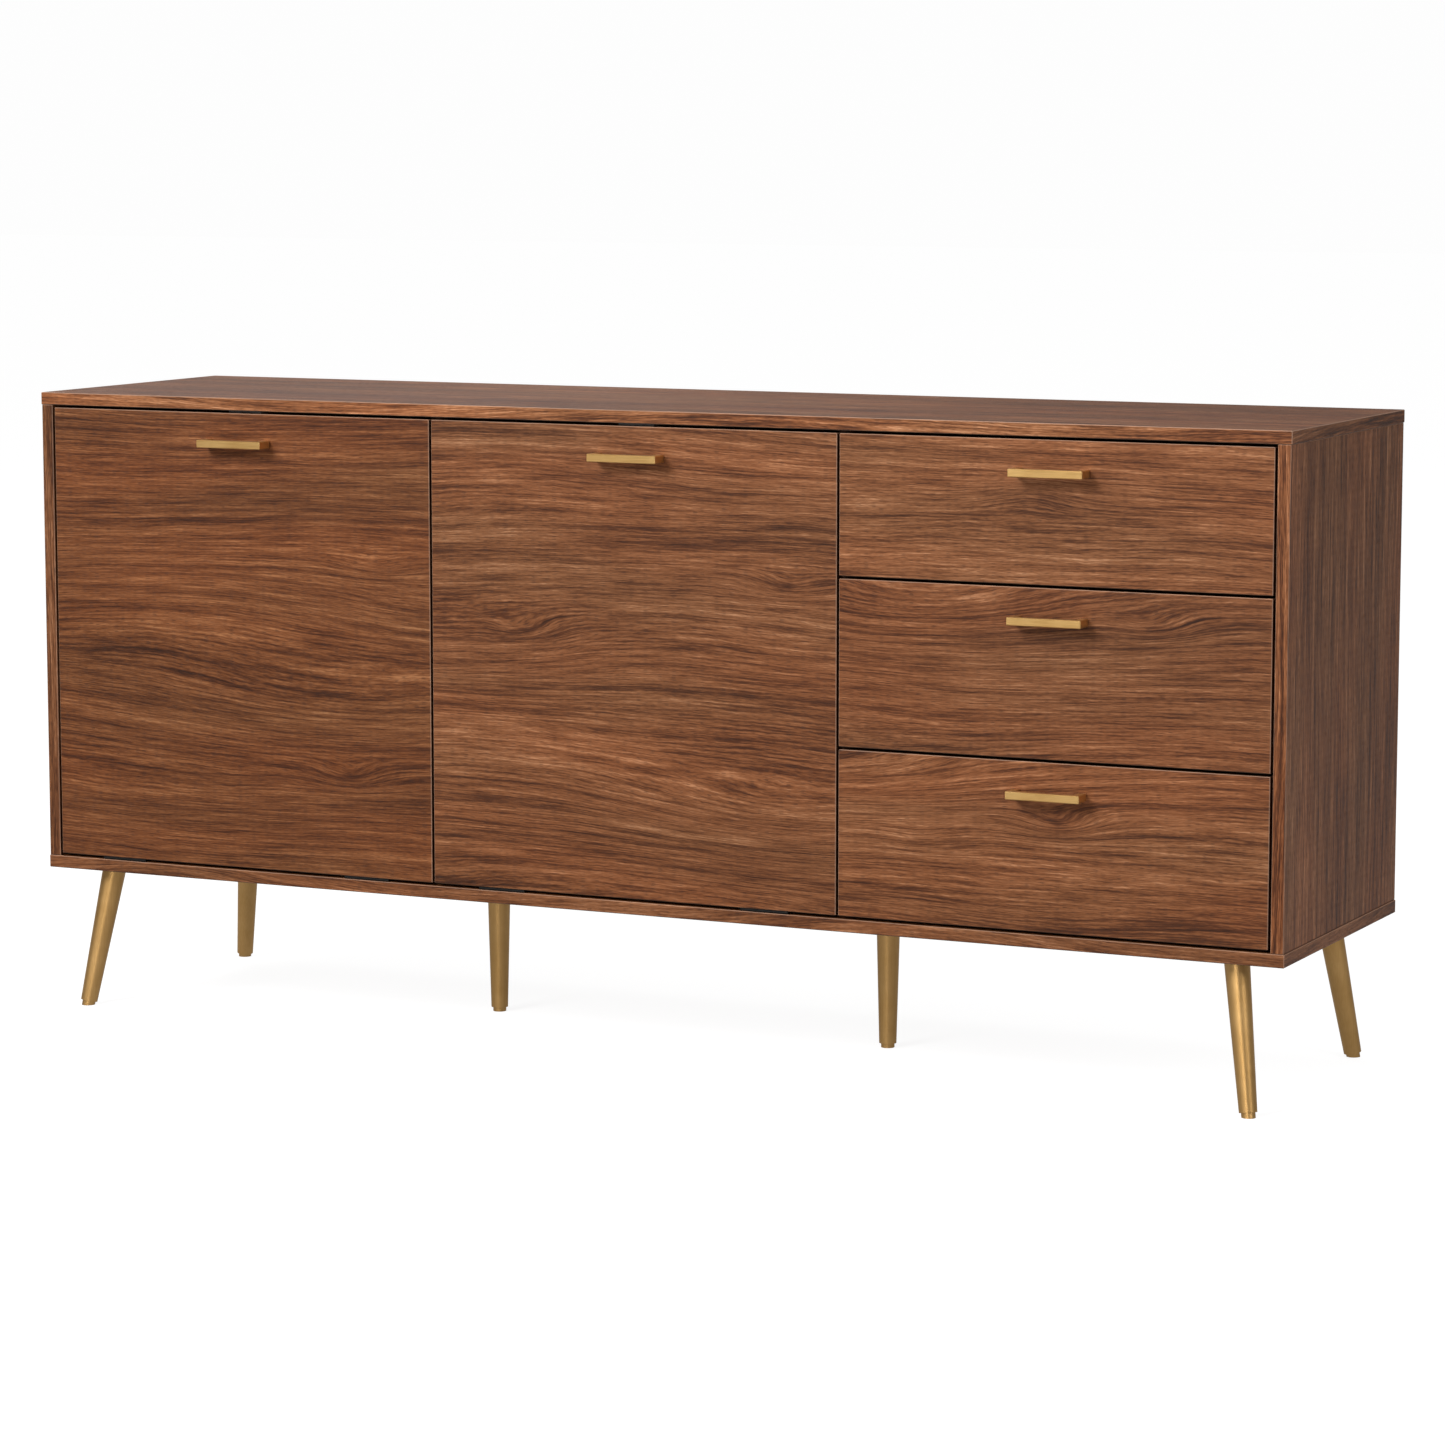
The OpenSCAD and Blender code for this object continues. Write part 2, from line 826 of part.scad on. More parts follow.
module bottom_panel() {
    color(walnut)
        difference() {
            translate([-body_w / 2, front_y, leg_h]) board(body_w, body_d, panel_t);
            joint_cuts();
            back_grooves();
            base_leaf_screws(slack);
            leg_bolt_holes();
        }
}

// Upright board from y to the back, with every hole that its fittings need
module upright(x, y) {
    difference() {
        translate([x, y, inner_z0]) board(panel_t, back_y - y, inner_h);
        joint_cuts();
        back_grooves();
        shelf_pin_holes();
        stay_pivot_screws(slack);
        outer_rail_screws(slack);
    }
}

module left_side_panel() {
    color(walnut) upright(-side_in - panel_t, front_y);
}

module right_side_panel() {
    color(walnut) upright(side_in, front_y);
}

module left_divider() {
    color(inner_walnut) upright(left_divider_x - panel_t / 2, divider_y);
}

module right_divider() {
    color(inner_walnut) upright(right_divider_x - panel_t / 2, divider_y);
}

module back_panels() {
    color(dark_board)
        for (bay = [left_bay, middle_bay, drawer_bay]) back_sheet(bay);
}

module shelves() {
    color(inner_walnut)
        for (bay = [left_bay, middle_bay]) {
            x0 = walls[bay[0]][0] + shelf_side_gap;
            x1 = walls[bay[1]][0] - shelf_side_gap;
            translate([x0, shelf_y, shelf_z]) board(x1 - x0, shelf_d, panel_t);
        }
}

module shelf_pins() {
    color(zinc)
        for (i = [0:3], y = shelf_pin_ys)
            on_wall(i)
                translate([-shelf_pin_in, y, shelf_z - shelf_pin_r - pin_slack])
                    x_rod(shelf_pin_in + shelf_pin_out, shelf_pin_r);
}

module cam_locks() {
    color(zinc)
        difference() {
            at_board_joints() cam_disc();
            at_board_joints() {
                cam_bolt(slack);
                translate([panel_t / 2, 0, cam_back]) rotate([0, 90, 0]) cross_recess(cam_r);
            }
        }
}

module cam_bolts() {
    color(zinc) at_board_joints() cam_bolt();
}

module wood_dowels() {
    color(beech) at_board_joints() dowel();
}

// Plug in the top of each leg, with the stud that screws into the bottom panel
module leg_bolts() {
    color(zinc)
        for (spot = leg_spots) {
            intersection() {
                leg_frame(spot) leg_cone(spot, leg_plug_h, leg_plug_h, leg_wall + slack);
                under_case();
            }
            leg_frame(spot) translate([0, 0, -leg_bolt_up]) cylinder(h = 2 * leg_bolt_up, r = leg_bolt_r);
        }
}

module leg_glides() {
    color(gold)
        intersection() {
            for (spot = leg_spots)
                leg_frame(spot)
                    translate([0, 0, -leg_axis_l(spot) - glide_h])
                        cylinder(h = 2 * glide_h + glide_in, r = glide_r);
            under_case();
        }
}

module hinge_base_leaves() {
    color(black_steel)
        difference() {
            for (door_x = [left_door_x, middle_door_x])
                at_hinges(door_x)
                    hinge_half(-hinge_gap / 2, [-knuckle_l, knuckle_l], knuckle_l);
            base_leaf_screws(slack);
        }
}

module hinge_pins() {
    color(black_steel)
        for (door_x = [left_door_x, middle_door_x])
            at_hinges(door_x)
                translate([-leaf_l / 2, 0, 0])
                    x_rod(leaf_l, hinge_pin_r);
}

module magnetic_catches() {
    color(grey_plastic)
        difference() {
            at_catches() translate([-catch_size[0] / 2, 0, 0]) cube(catch_size);
            catch_screws(slack);
        }
}

module runner_outer_rails() {
    color(zinc)
        difference() {
            for (i = drawer_bay, d = drawers)
                on_wall(i)
                    translate([0, 0, d[0] + box_lift + rail_lift])
                        rail(0, outer_rail_w, outer_rail_h, rail_t);
            outer_rail_screws(slack);
        }
}

// Plate on a wall with the stub that a stay's housing swivels on
module stay_pivots() {
    color(zinc)
        difference() {
            for (i = [0:3])
                on_wall(i)
                    translate([0, wall_pivot[0], wall_pivot[1]]) {
                        translate([0, -pivot_plate_size[0] / 2, -pivot_plate_size[1] / 2])
                            cube([pivot_plate_t, pivot_plate_size[0], pivot_plate_size[1]]);
                        x_rod(pivot_plate_t + pivot_pin_l, pivot_pin_r);
                    }
            stay_pivot_screws(slack);
        }
}

module case_screws() {
    color(zinc) {
        base_leaf_screws();
        catch_screws();
        stay_pivot_screws();
        outer_rail_screws();
    }
}

// ---- nodes ----

top_panel();
bottom_panel();
left_side_panel();
right_side_panel();
left_divider();
right_divider();
back_panels();
shelves();
shelf_pins();
cam_locks();
cam_bolts();
wood_dowels();
leg(0);  // front_left_leg
leg(1);  // rear_left_leg
leg(2);  // front_right_leg
leg(3);  // rear_right_leg
leg(4);  // left_middle_leg
leg(5);  // right_middle_leg
leg_bolts();
leg_glides();
hinge_base_leaves();
hinge_pins();
magnetic_catches();
runner_outer_rails();
stay_pivots();
case_screws();

door_panel(left_door_x, left_bay);  // left_door_panel
handle(left_door_x + door_w / 2, front_z1 - handle_drop);  // left_door_handle
door_screws(left_door_x, left_bay);  // left_door_screws
door_hinge_leaves(left_door_x);  // left_door_hinge_leaves
stay_brackets(left_bay);  // left_door_stay_brackets
strike_plate(left_door_x);  // left_door_strike_plate
stay_rods(left_bay);  // left_door_stay_rods
stay_housings(left_bay);  // left_door_stay_housings

door_panel(middle_door_x, middle_bay);  // middle_door_panel
handle(middle_door_x + door_w / 2, front_z1 - handle_drop);  // middle_door_handle
door_screws(middle_door_x, middle_bay);  // middle_door_screws
door_hinge_leaves(middle_door_x);  // middle_door_hinge_leaves
stay_brackets(middle_bay);  // middle_door_stay_brackets
strike_plate(middle_door_x);  // middle_door_strike_plate
stay_rods(middle_bay);  // middle_door_stay_rods
stay_housings(middle_bay);  // middle_door_stay_housings

drawer_front(drawers[0]);  // top_drawer_front
drawer_box(drawers[0]);  // top_drawer_box
drawer_handle(drawers[0]);  // top_drawer_handle
drawer_fasteners(drawers[0]);  // top_drawer_fasteners
inner_rails(drawers[0]);  // top_drawer_inner_rails
ball_cages(drawers[0]);  // top_drawer_ball_cages

drawer_front(drawers[1]);  // middle_drawer_front
drawer_box(drawers[1]);  // middle_drawer_box
drawer_handle(drawers[1]);  // middle_drawer_handle
drawer_fasteners(drawers[1]);  // middle_drawer_fasteners
inner_rails(drawers[1]);  // middle_drawer_inner_rails
ball_cages(drawers[1]);  // middle_drawer_ball_cages

drawer_front(drawers[2]);  // bottom_drawer_front
drawer_box(drawers[2]);  // bottom_drawer_box
drawer_handle(drawers[2]);  // bottom_drawer_handle
drawer_fasteners(drawers[2]);  // bottom_drawer_fasteners
inner_rails(drawers[2]);  // bottom_drawer_inner_rails
ball_cages(drawers[2]);  // bottom_drawer_ball_cages
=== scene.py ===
import json

import bpy
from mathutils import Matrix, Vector


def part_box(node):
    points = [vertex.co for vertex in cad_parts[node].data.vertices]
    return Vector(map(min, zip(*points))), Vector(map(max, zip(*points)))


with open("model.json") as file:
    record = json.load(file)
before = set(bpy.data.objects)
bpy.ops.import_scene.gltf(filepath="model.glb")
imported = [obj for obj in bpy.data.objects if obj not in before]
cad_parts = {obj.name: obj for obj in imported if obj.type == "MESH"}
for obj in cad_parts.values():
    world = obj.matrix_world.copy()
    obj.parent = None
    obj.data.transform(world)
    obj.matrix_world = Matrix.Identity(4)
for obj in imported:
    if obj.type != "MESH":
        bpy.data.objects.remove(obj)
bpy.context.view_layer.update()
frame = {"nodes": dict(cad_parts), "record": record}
nodes = frame["nodes"]

# ---- camera ----

CAMERA_AT = Vector((2.409, -4.957, 1.099))
CAMERA_AIM = Vector((0.122, -0.188, 0.404))
LENS_MM = 116.09
SENSOR_MM = 36


def add_camera():
    data = bpy.data.cameras.new("camera")
    data.lens = LENS_MM
    data.sensor_width = SENSOR_MM
    camera = bpy.data.objects.new("camera", data)
    camera.location = CAMERA_AT
    camera.rotation_euler = (CAMERA_AIM - CAMERA_AT).to_track_quat("-Z", "Y").to_euler()
    bpy.context.scene.collection.objects.link(camera)
    bpy.context.scene.camera = camera


# ---- node graphs ----


class Graph:
    """Short calls that add nodes to a tree and link them. A value is a number, a tuple or an output socket."""

    def __init__(self, tree):
        self.tree = tree

    def node(self, kind, *values, **settings):
        made = self.tree.nodes.new(kind)
        for name, value in settings.items():
            setattr(made, name, value)
        for socket, value in zip(made.inputs, values):
            self.feed(socket, value)
        return made

    def feed(self, socket, value):
        if isinstance(value, bpy.types.NodeSocket):
            self.tree.links.new(value, socket)
        elif value is not None:
            socket.default_value = value

    def math(self, operation, *values):
        return self.node("ShaderNodeMath", *values, operation=operation).outputs[0]

    def add(self, a, b):
        return self.math("ADD", a, b)

    def times(self, a, b):
        return self.math("MULTIPLY", a, b)

    def scaled(self, a, factor, offset):
        return self.math("MULTIPLY_ADD", a, factor, offset)

    def vector(self, x, y, z=0.0):
        return self.node("ShaderNodeCombineXYZ", x, y, z).outputs[0]

    def parts(self, vector):
        return self.node("ShaderNodeSeparateXYZ", vector).outputs

    def noise(self, x, y, detail=0.0, roughness=0.5):
        """Two-dimensional noise from 0 to 1 at (x, y)."""
        made = self.node("ShaderNodeTexNoise", noise_dimensions="2D")
        self.feed(made.inputs["Vector"], self.vector(x, y))
        made.inputs["Scale"].default_value = 1.0
        made.inputs["Detail"].default_value = detail
        made.inputs["Roughness"].default_value = roughness
        return made.outputs["Fac"]

    def noise3(self, vector, scale, detail=0.0, roughness=0.5):
        made = self.node("ShaderNodeTexNoise")
        self.feed(made.inputs["Vector"], vector)
        made.inputs["Scale"].default_value = scale
        made.inputs["Detail"].default_value = detail
        made.inputs["Roughness"].default_value = roughness
        return made.outputs["Fac"]

    def step(self, value, low, high, to_low=0.0, to_high=1.0):
        """Smooth step of value from low to high."""
        return self.node(
            "ShaderNodeMapRange", value, low, high, to_low, to_high, interpolation_type="SMOOTHSTEP"
        ).outputs[0]

    def pick(self, factor, a, b):
        """a where factor is 0, b where it is 1."""
        made = self.node("ShaderNodeMix", data_type="FLOAT")
        for socket, value in zip((made.inputs[0], made.inputs[2], made.inputs[3]), (factor, a, b)):
            self.feed(socket, value)
        return made.outputs[0]

    def mix_colour(self, factor, a, b, blend="MIX"):
        made = self.node("ShaderNodeMix", data_type="RGBA", blend_type=blend)
        for socket, value in zip((made.inputs[0], made.inputs[6], made.inputs[7]), (factor, a, b)):
            self.feed(socket, value)
        return made.outputs[2]

    def ramp(self, value, stops):
        """Colours at positions from 0 to 1, as (position, (r, g, b)) in screen colours from 0 to 255."""
        made = self.node("ShaderNodeValToRGB", value)
        elements = made.color_ramp.elements
        while len(elements) < len(stops):
            elements.new(0.5)
        for element, (position, colour) in zip(elements, stops):
            element.position = position
            element.color = (*linear(colour), 1)
        return made.outputs[0]

    def bump(self, height, distance, strength=1.0):
        made = self.node("ShaderNodeBump")
        made.inputs["Strength"].default_value = strength
        made.inputs["Distance"].default_value = distance
        self.feed(made.inputs["Height"], height)
        return made.outputs[0]


def linear(colour):
    """Screen colour from 0 to 255 as linear light."""
    return tuple(((c / 255 + 0.055) / 1.055) ** 2.4 if c > 10 else c / 3294 for c in colour)


def new_group(name, inputs, outputs):
    """Node group with the named sockets; returns its graph, its inputs by name and its output node."""
    tree = bpy.data.node_groups.new(name, "ShaderNodeTree")
    for socket, kind in inputs:
        tree.interface.new_socket(socket, in_out="INPUT", socket_type=kind)
    for socket, kind in outputs:
        tree.interface.new_socket(socket, in_out="OUTPUT", socket_type=kind)
    graph = Graph(tree)
    return graph, tree.nodes.new("NodeGroupInput").outputs, tree.nodes.new("NodeGroupOutput")


def new_material(name, **shader):
    """Material with a Principled shader, whose sockets get the plain values given; returns its graph too."""
    material = bpy.data.materials.new(name)
    material.use_nodes = True
    graph = Graph(material.node_tree)
    principled = material.node_tree.nodes["Principled BSDF"]
    for socket, value in shader.items():
        principled.inputs[socket.replace("_", " ")].default_value = value
    return material, graph, principled.inputs


# ---- wood ----

FLOAT, VECTOR = "NodeSocketFloat", "NodeSocketVector"

WALNUT = [
    (0.00, (42, 19, 6)),
    (0.28, (72, 38, 17)),
    (0.50, (103, 61, 33)),
    (0.72, (124, 79, 49)),
    (1.00, (160, 113, 80)),
]
INNER_WALNUT = [
    (0.00, (46, 28, 19)),
    (0.35, (78, 49, 34)),
    (0.65, (104, 68, 47)),
    (1.00, (146, 102, 72)),
]
BEECH = [
    (0.00, (160, 118, 74)),
    (0.50, (204, 165, 116)),
    (1.00, (226, 194, 150)),
]
WARM_TINT = [(0.3, (255, 247, 240)), (0.7, (247, 252, 255))]
PORE_COLOUR = (48, 27, 15)
# Painted highlight: the pale colour that eased edges are lifted towards where the light catches them
EDGE_HIGHLIGHT_COLOUR = (206, 170, 146)
# Painted shade: what the eased edges that face down are multiplied by
UNDERSIDE_PAINTED_SHADE = 0.3

# Half length and half width of each figure, in metres, and how far it bends the growth rings
KNOT_REACH, KNOT_BEND = (0.05, 0.017), 0.02
DARK_REACH = (0.013, 0.0045)
ARCS_REACH, ARCS_BEND = (0.25, 0.05), 0.05

# How much each layer of the figure adds to the tone
BAND_SHARE, STREAK_SHARE, FINE_SHARE, FIBRE_SHARE = 0.42, 0.85, 0.95, 0.45
LATE_WOOD_SHARE, DARK_KNOT_SHARE = -0.16, -0.3
MIDDLE_TONE = 0.53


def knot_gauss(graph, along, across, knot, reach):
    """Smooth oval hill at a knot or a nest of arcs: its reach says how long and wide, its strength how high."""
    knot_along, knot_across, strength = graph.parts(knot)
    a = graph.times(graph.math("SUBTRACT", along, knot_along), 1 / reach[0])
    b = graph.times(graph.math("SUBTRACT", across, knot_across), 1 / reach[1])
    spread = graph.add(graph.times(a, a), graph.times(b, b))
    return graph.times(graph.math("EXPONENT", graph.times(spread, -1.0)), strength)


def veneer_group():
    """Sliced veneer: streaks that follow the growth rings, which bend around knots and arcs.

    Lengths are in metres.
    """
    graph, given, out = new_group(
        "veneer",
        [
            ("Along", FLOAT), ("Across", FLOAT), ("Seed", FLOAT), ("Swirl", FLOAT),
            ("Knot A", VECTOR), ("Knot B", VECTOR), ("Arcs A", VECTOR), ("Arcs B", VECTOR),
        ],
        [("Tone", FLOAT), ("Pores", FLOAT), ("Fibre", FLOAT), ("Warmth", FLOAT)],
    )
    along, across, seed = given["Along"], given["Across"], given["Seed"]
    u = graph.add(along, graph.times(seed, 3.7))
    v = graph.add(across, graph.times(seed, 1.9))

    def figure(y, along_scale, across_scale, detail=0.0, roughness=0.5):
        """Noise stretched along the grain, with y as its place across."""
        return graph.noise(graph.times(u, along_scale), graph.times(y, across_scale), detail, roughness)

    # The growth rings: a slow swirl makes long bends, slight waves make the streaks wander
    swirl = graph.scaled(figure(v, 1.3, 5.0, 1.0, 0.45), 2.0, -1.0)
    ring = graph.add(v, graph.times(swirl, given["Swirl"]))
    wave = graph.scaled(figure(v, 8.0, 24.0, 2.0), 0.0036, -0.0018)
    ripple = graph.scaled(figure(v, 48.0, 160.0, 1.0), 0.0009, -0.00045)
    ring = graph.add(graph.add(ring, wave), ripple)
    dark_knot = 0.0
    for name in ("Knot A", "Knot B"):
        hill = knot_gauss(graph, along, across, given[name], KNOT_REACH)
        ring = graph.add(ring, graph.times(hill, KNOT_BEND))
        dark_knot = graph.add(dark_knot, knot_gauss(graph, along, across, given[name], DARK_REACH))
    for name in ("Arcs A", "Arcs B"):
        hill = knot_gauss(graph, along, across, given[name], ARCS_REACH)
        ring = graph.add(ring, graph.times(hill, ARCS_BEND))

    # Broad bands, streaks, fine streaks and single fibres
    band = figure(ring, 1.0, 15.0, 2.0)
    streak = figure(ring, 3.0, 120.0, 3.0, 0.62)
    fine = figure(ring, 16.0, 520.0, 2.0, 0.6)
    fibre = figure(ring, 90.0, 1500.0, 1.0)

    # Late wood: thin dark lines that follow the rings, each fading in and out along the board
    turn = graph.math("ABSOLUTE", graph.add(figure(ring, 0.7, 75.0, 1.0), -0.5))
    line = graph.step(turn, 0.0, 0.06, 1.0, 0.0)
    fade = graph.step(figure(ring, 3.5, 14.0, 1.0), 0.4, 0.62)
    line = graph.times(line, fade)

    tone = MIDDLE_TONE
    for layer, share in (
        (band, BAND_SHARE), (streak, STREAK_SHARE), (fine, FINE_SHARE), (fibre, FIBRE_SHARE),
    ):
        tone = graph.add(graph.scaled(layer, share, -share / 2), tone)
    tone = graph.add(tone, graph.times(line, LATE_WOOD_SHARE))
    tone = graph.add(tone, graph.times(dark_knot, DARK_KNOT_SHARE))

    # Pores: short dark dashes along the grain
    pore = graph.step(figure(ring, 110.0, 2300.0), 0.63, 0.72)
    for name, value in (
        ("Tone", tone),
        ("Pores", pore),
        ("Fibre", graph.add(graph.times(fine, 0.5), graph.times(fibre, 0.5))),
        ("Warmth", figure(ring, 2.0, 12.0, 1.0)),
    ):
        graph.feed(out.inputs[name], value)
    return graph.tree


VENEER = veneer_group()

# Part of a normal along an axis: more than this on a flat face, less than this on an underside
FLAT_FACE = 0.75
DOWNWARD = -0.3


def board_faces(graph, grain, end_along):
    """Places along and across the grain, and masks of a board's eased edges, of those that face down, where shade
    is painted, and of its faces.

    The grain runs along one axis, and along end_along on the board's ends. The faces' masks are by axis.
    """
    coords = graph.node("ShaderNodeTexCoord").outputs
    x, y, z = graph.parts(coords["Object"])
    place = {"X": x, "Y": y, "Z": z}
    normal = graph.parts(coords["Normal"])
    facing = [graph.math("GREATER_THAN", graph.math("ABSOLUTE", part), FLAT_FACE) for part in normal]
    chosen = {}
    for axis in "XYZ":
        along = end_along if axis == grain else grain
        across = next(a for a in "XYZ" if a not in (axis, along))
        chosen[axis] = place[along], place[across]
    on_x, on_y, on_z = facing
    result = [
        graph.pick(on_z, graph.pick(on_x, chosen["Y"][i], chosen["X"][i]), chosen["Z"][i]) for i in (0, 1)
    ]
    edge = graph.math("SUBTRACT", 1.0, graph.add(graph.add(on_x, on_y), on_z))
    # Eased edges that face down, which get painted shade
    shaded_under_edge = graph.times(edge, graph.math("LESS_THAN", normal[2], DOWNWARD))
    return (*result, edge, shaded_under_edge, dict(zip("XYZ", facing)))


def grey(level):
    return level, level, level


def wood(
    name, ramp, grain, end_along, seed, swirl, knots=(), arcs=(),
    painted_edge_highlight=0.0, gloss=0.46, tints=(), contrast=1.0,
):
    """Veneered board. Knots and arcs are (along, across, strength) in metres; the edge highlight amount lifts the
    eased edges towards a pale colour, a painted highlight, and the eased edges that face down are darkened,
    painted shade.

    Tints are (axis, colour): the colour that the faces across that axis are multiplied by, painted light and shade
    on whole faces.
    """
    material, graph, shader = new_material(name, Specular_IOR_Level=0.17)
    along, across, edge, shaded_under_edge, facing = board_faces(graph, grain, end_along)
    group = graph.node("ShaderNodeGroup", node_tree=VENEER)
    nowhere = [(0.0, 0.0, 0.0)] * 2
    places = [*knots, *nowhere][:2] + [*arcs, *nowhere][:2]
    for socket, value in zip(group.inputs, (along, across, seed, swirl, *places)):
        graph.feed(socket, value)
    tone, pores, fibre, warmth = group.outputs
    if contrast != 1.0:
        tone = graph.scaled(tone, contrast, 0.5 - 0.5 * contrast)
    colour = graph.ramp(tone, ramp)
    colour = graph.mix_colour(1.0, colour, graph.ramp(warmth, WARM_TINT), "MULTIPLY")
    colour = graph.mix_colour(graph.times(pores, 0.45), colour, (*linear(PORE_COLOUR), 1))
    # Painted highlight along the eased edges, and painted shade on those that face down
    if painted_edge_highlight:
        colour = graph.mix_colour(graph.times(edge, painted_edge_highlight), colour, (*linear(EDGE_HIGHLIGHT_COLOUR), 1))
        colour = graph.mix_colour(shaded_under_edge, colour, (*grey(UNDERSIDE_PAINTED_SHADE), 1), "MULTIPLY")
    # Painted light and shade: whole faces lightened or darkened by axis
    for axis, factor in tints:
        colour = graph.mix_colour(facing[axis], colour, (*factor, 1), "MULTIPLY")
    graph.feed(shader["Base Color"], colour)
    roughness = graph.add(graph.scaled(fibre, 0.16, gloss - 0.08), graph.times(pores, 0.12))
    graph.feed(shader["Roughness"], roughness)
    height = graph.add(graph.times(fibre, 0.35), graph.times(pores, -0.65))
    graph.feed(shader["Normal"], graph.bump(height, 0.00012, 0.8))
    return material


# ---- metal and plastic ----


def brushed_gold():
    """Satin gold bar, brushed along its length."""
    material, graph, shader = new_material("brushed_gold", Metallic=1.0, Anisotropic=0.35)
    x, y, z = graph.parts(graph.node("ShaderNodeTexCoord").outputs["Object"])
    across = graph.add(y, z)
    brush = graph.noise(graph.times(x, 22.0), graph.times(across, 2600.0), 2.0, 0.7)
    patch = graph.noise(graph.times(x, 26.0), graph.times(across, 60.0), 2.0)
    blend = graph.add(graph.times(brush, 0.6), graph.times(patch, 0.4))
    graph.feed(shader["Base Color"], graph.ramp(blend, [(0.25, (196, 151, 88)), (0.75, (232, 191, 125))]))
    graph.feed(shader["Roughness"], graph.scaled(brush, 0.22, 0.25))
    graph.feed(shader["Normal"], graph.bump(brush, 0.00004, 0.7))
    return material


def satin_gold():
    """Sprayed and lacquered gold tube."""
    material, graph, shader = new_material("satin_gold", Metallic=1.0)
    place = graph.node("ShaderNodeTexCoord").outputs["Object"]
    x, y, z = graph.parts(place)
    mottle = graph.noise3(place, 24.0, 3.0, 0.6)
    drawn = graph.vector(graph.times(x, 700.0), graph.times(y, 700.0), graph.times(z, 22.0))
    draw = graph.noise3(drawn, 1.0, 1.0)
    grain = graph.noise3(place, 2600.0, 1.0)
    blend = graph.add(graph.times(mottle, 0.7), graph.times(draw, 0.3))
    graph.feed(shader["Base Color"], graph.ramp(blend, [(0.3, (180, 140, 84)), (0.7, (200, 160, 104))]))
    graph.feed(shader["Roughness"], graph.add(graph.scaled(mottle, 0.06, 0.36), graph.times(draw, 0.03)))
    height = graph.add(graph.times(grain, 0.85), graph.times(draw, 0.15))
    graph.feed(shader["Normal"], graph.bump(height, 0.00003, 0.5))
    return material


def plated_steel():
    """Zinc plate with the faint cloudy tints of its passivation."""
    material, graph, shader = new_material("zinc_plate", Metallic=1.0)
    place = graph.node("ShaderNodeTexCoord").outputs["Object"]
    cloud = graph.noise3(place, 60.0, 4.0, 0.6)
    spangle = graph.noise3(place, 900.0, 2.0)
    graph.feed(
        shader["Base Color"],
        graph.ramp(cloud, [(0.3, (168, 172, 176)), (0.5, (190, 190, 186)), (0.7, (196, 190, 172))]),
    )
    graph.feed(shader["Roughness"], graph.add(graph.scaled(cloud, 0.2, 0.16), graph.times(spangle, 0.1)))
    graph.feed(shader["Normal"], graph.bump(spangle, 0.00003, 0.5))
    return material


def black_steel():
    """Black oxide on pressed steel, rubbed grey in places."""
    material, graph, shader = new_material("black_oxide", Specular_IOR_Level=0.12)
    place = graph.node("ShaderNodeTexCoord").outputs["Object"]
    rub = graph.noise3(place, 90.0, 4.0, 0.65)
    grain = graph.noise3(place, 1800.0, 2.0)
    graph.feed(shader["Base Color"], graph.ramp(rub, [(0.35, (8, 8, 7)), (0.75, (20, 19, 18))]))
    graph.feed(shader["Roughness"], graph.scaled(rub, 0.25, 0.5))
    graph.feed(shader["Normal"], graph.bump(grain, 0.00004, 0.6))
    return material


def moulded_plastic():
    """Grey moulded plastic with a spark-eroded texture."""
    material, graph, shader = new_material("grey_moulding", Specular_IOR_Level=0.45)
    place = graph.node("ShaderNodeTexCoord").outputs["Object"]
    cloud = graph.noise3(place, 40.0, 2.0)
    pit = graph.noise3(place, 2200.0, 2.0, 0.7)
    graph.feed(shader["Base Color"], graph.ramp(cloud, [(0.3, (104, 104, 105)), (0.7, (118, 118, 119))]))
    graph.feed(shader["Roughness"], graph.scaled(pit, 0.3, 0.36))
    graph.feed(shader["Normal"], graph.bump(pit, 0.00006, 0.7))
    return material


def hardboard():
    """Thin brown board with a printed face: short fibres that lie every way."""
    material, graph, shader = new_material("hardboard", Specular_IOR_Level=0.3)
    place = graph.node("ShaderNodeTexCoord").outputs["Object"]
    x, y, z = graph.parts(place)
    cloud = graph.noise3(place, 9.0, 4.0, 0.6)
    flakes = graph.noise(graph.times(x, 420.0), graph.times(z, 160.0), 3.0, 0.7)
    specks = graph.noise(graph.times(x, 1500.0), graph.times(z, 1500.0), 1.0)
    blend = graph.add(graph.add(graph.times(cloud, 0.35), graph.times(flakes, 0.4)), graph.times(specks, 0.25))
    graph.feed(
        shader["Base Color"],
        graph.ramp(blend, [(0.3, (74, 50, 36)), (0.5, (96, 67, 48)), (0.7, (124, 90, 66))]),
    )
    graph.feed(shader["Roughness"], graph.scaled(flakes, 0.2, 0.55))
    graph.feed(shader["Normal"], graph.bump(graph.add(flakes, specks), 0.0001, 0.7))
    return material


# ---- finishes of the nodes ----


def paint(material, *names):
    for name in names:
        slots = nodes[name].data.materials
        slots.clear()
        slots.append(material)


def spot_on(name, share_along, share_up):
    """Place on a front: shares of its width from the left and of its height from the bottom."""
    low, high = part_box(name)
    return low.x + share_along * (high.x - low.x), low.z + share_up * (high.z - low.z)


# Painted shade: the fronts' edge faces, which show in the gaps, are darkened to this
GAP_PAINTED_SHADE = grey(0.35)


def front(name, light, seed, swirl, knots, arcs=()):
    """Veneered front with horizontal grain; its face is lightened or darkened by light, painted light and shade,
    and its edge faces in the gaps get painted shade.

    Knots and arcs are (share of its width, share of its height, strength).
    """
    placed = [[(*spot_on(name, a, b), strength) for a, b, strength in spots] for spots in (knots, arcs)]
    # Painted shade on the edge faces in the gaps, painted light and shade on the face, painted highlight on the
    # eased edges
    tints = (("X", GAP_PAINTED_SHADE), ("Y", light), ("Z", GAP_PAINTED_SHADE))
    paint(wood(name + "_veneer", WALNUT, "X", "Z", seed, swirl, *placed, painted_edge_highlight=0.3, tints=tints), name)
